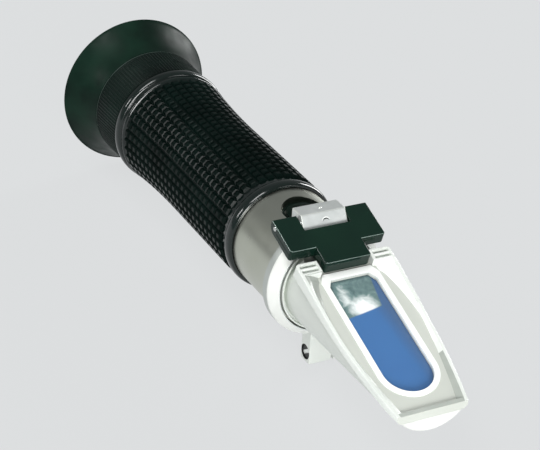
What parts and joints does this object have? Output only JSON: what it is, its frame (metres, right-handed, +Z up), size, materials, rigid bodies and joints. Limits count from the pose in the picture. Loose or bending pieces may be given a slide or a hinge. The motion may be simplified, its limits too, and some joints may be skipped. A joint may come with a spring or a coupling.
{
  "type": "handheld optical refractometer",
  "caption": "Handheld optical refractometer: rubber-gripped barrel, focusing eyepiece with flared eyecup, sloping prism head and hinged clear daylight plate.",
  "frame": {"origin": "centre of the bounding box in X and Y, at its lowest height, which is the flat foot of the clamping lug", "axes": "+X along the barrel from the eyecup to the prism nose, +Z up on the side of the daylight plate, +Y to the left of the barrel seen from the eyecup"},
  "size_m": [0.1684, 0.044, 0.0448],
  "materials": {
    "black_rubber": "matte",
    "black_plastic": "satin",
    "silver_metal": "satin",
    "bright_steel": "satin",
    "brass": "satin",
    "black_metal": "matte black",
    "clear_plastic": "clear, glossy",
    "blue_glass": "polished",
    "lens_glass": "polished"
  },
  "bodies": {
    "barrel": {"barrel_tube": "silver_metal", "grip_sleeve": "black_rubber", "guide_key": "bright_steel", "stray_light_stop": "black_metal", "reticle": "lens_glass", "reticle_retainer": "brass", "hinge_collar": "silver_metal", "clamp_screw": "bright_steel", "prism_head": "silver_metal", "prism": "blue_glass", "prism_gasket": "black_rubber"},
    "flap": {"daylight_plate": "clear_plastic", "hinge_block": "black_plastic", "hinge_pin": "bright_steel"},
    "objective": {"objective_cell": "black_metal", "objective_lens": "lens_glass"},
    "calibration_screw": {"calibration_screw": "brass"},
    "calibration_cap": {"calibration_cap": "black_rubber"},
    "eyepiece": {"lens_cell": "black_metal", "field_lens": "lens_glass", "lens_spacer": "black_metal", "eye_lens": "lens_glass", "eyepiece_retainer": "black_metal"},
    "focusing": {"focus_ring": "black_rubber", "eyecup": "black_rubber"}
  },
  "joints": [
    {"name": "plate_hinge", "type": "hinge", "parent": "barrel", "child": "flap", "pos_m": [0.0298, 0, 0.0376], "axis": [0, -1, 0], "range_deg": [0, 120]},
    {"name": "eyepiece_slide", "type": "slide", "parent": "barrel", "child": "eyepiece", "axis": [-1, 0, 0], "range_m": [0, 0.005]},
    {"name": "focus_turn", "type": "hinge", "parent": "eyepiece", "child": "focusing", "pos_m": [-0.0658, 0, 0.0228], "axis": [1, 0, 0], "range_deg": [0, 300]},
    {"name": "calibration_turn", "type": "hinge", "parent": "barrel", "child": "calibration_screw", "pos_m": [0.0208, 0, 0.0347], "axis": [0, 0, 1], "range_deg": [-60, 60]},
    {"name": "objective_slide", "type": "slide", "parent": "barrel", "child": "objective", "axis": [1, 0, 0], "range_m": [-0.00052, 0.00052]},
    {"name": "cap_pull", "type": "slide", "parent": "barrel", "child": "calibration_cap", "axis": [0, 0, 1], "range_m": [0, 0.012]}
  ],
  "couplings": [
    {"joint": "eyepiece_slide", "follows": "focus_turn", "m_per_rad": 0.0009548},
    {"joint": "calibration_turn", "follows": "objective_slide", "rad_per_m": 2013.7}
  ]
}
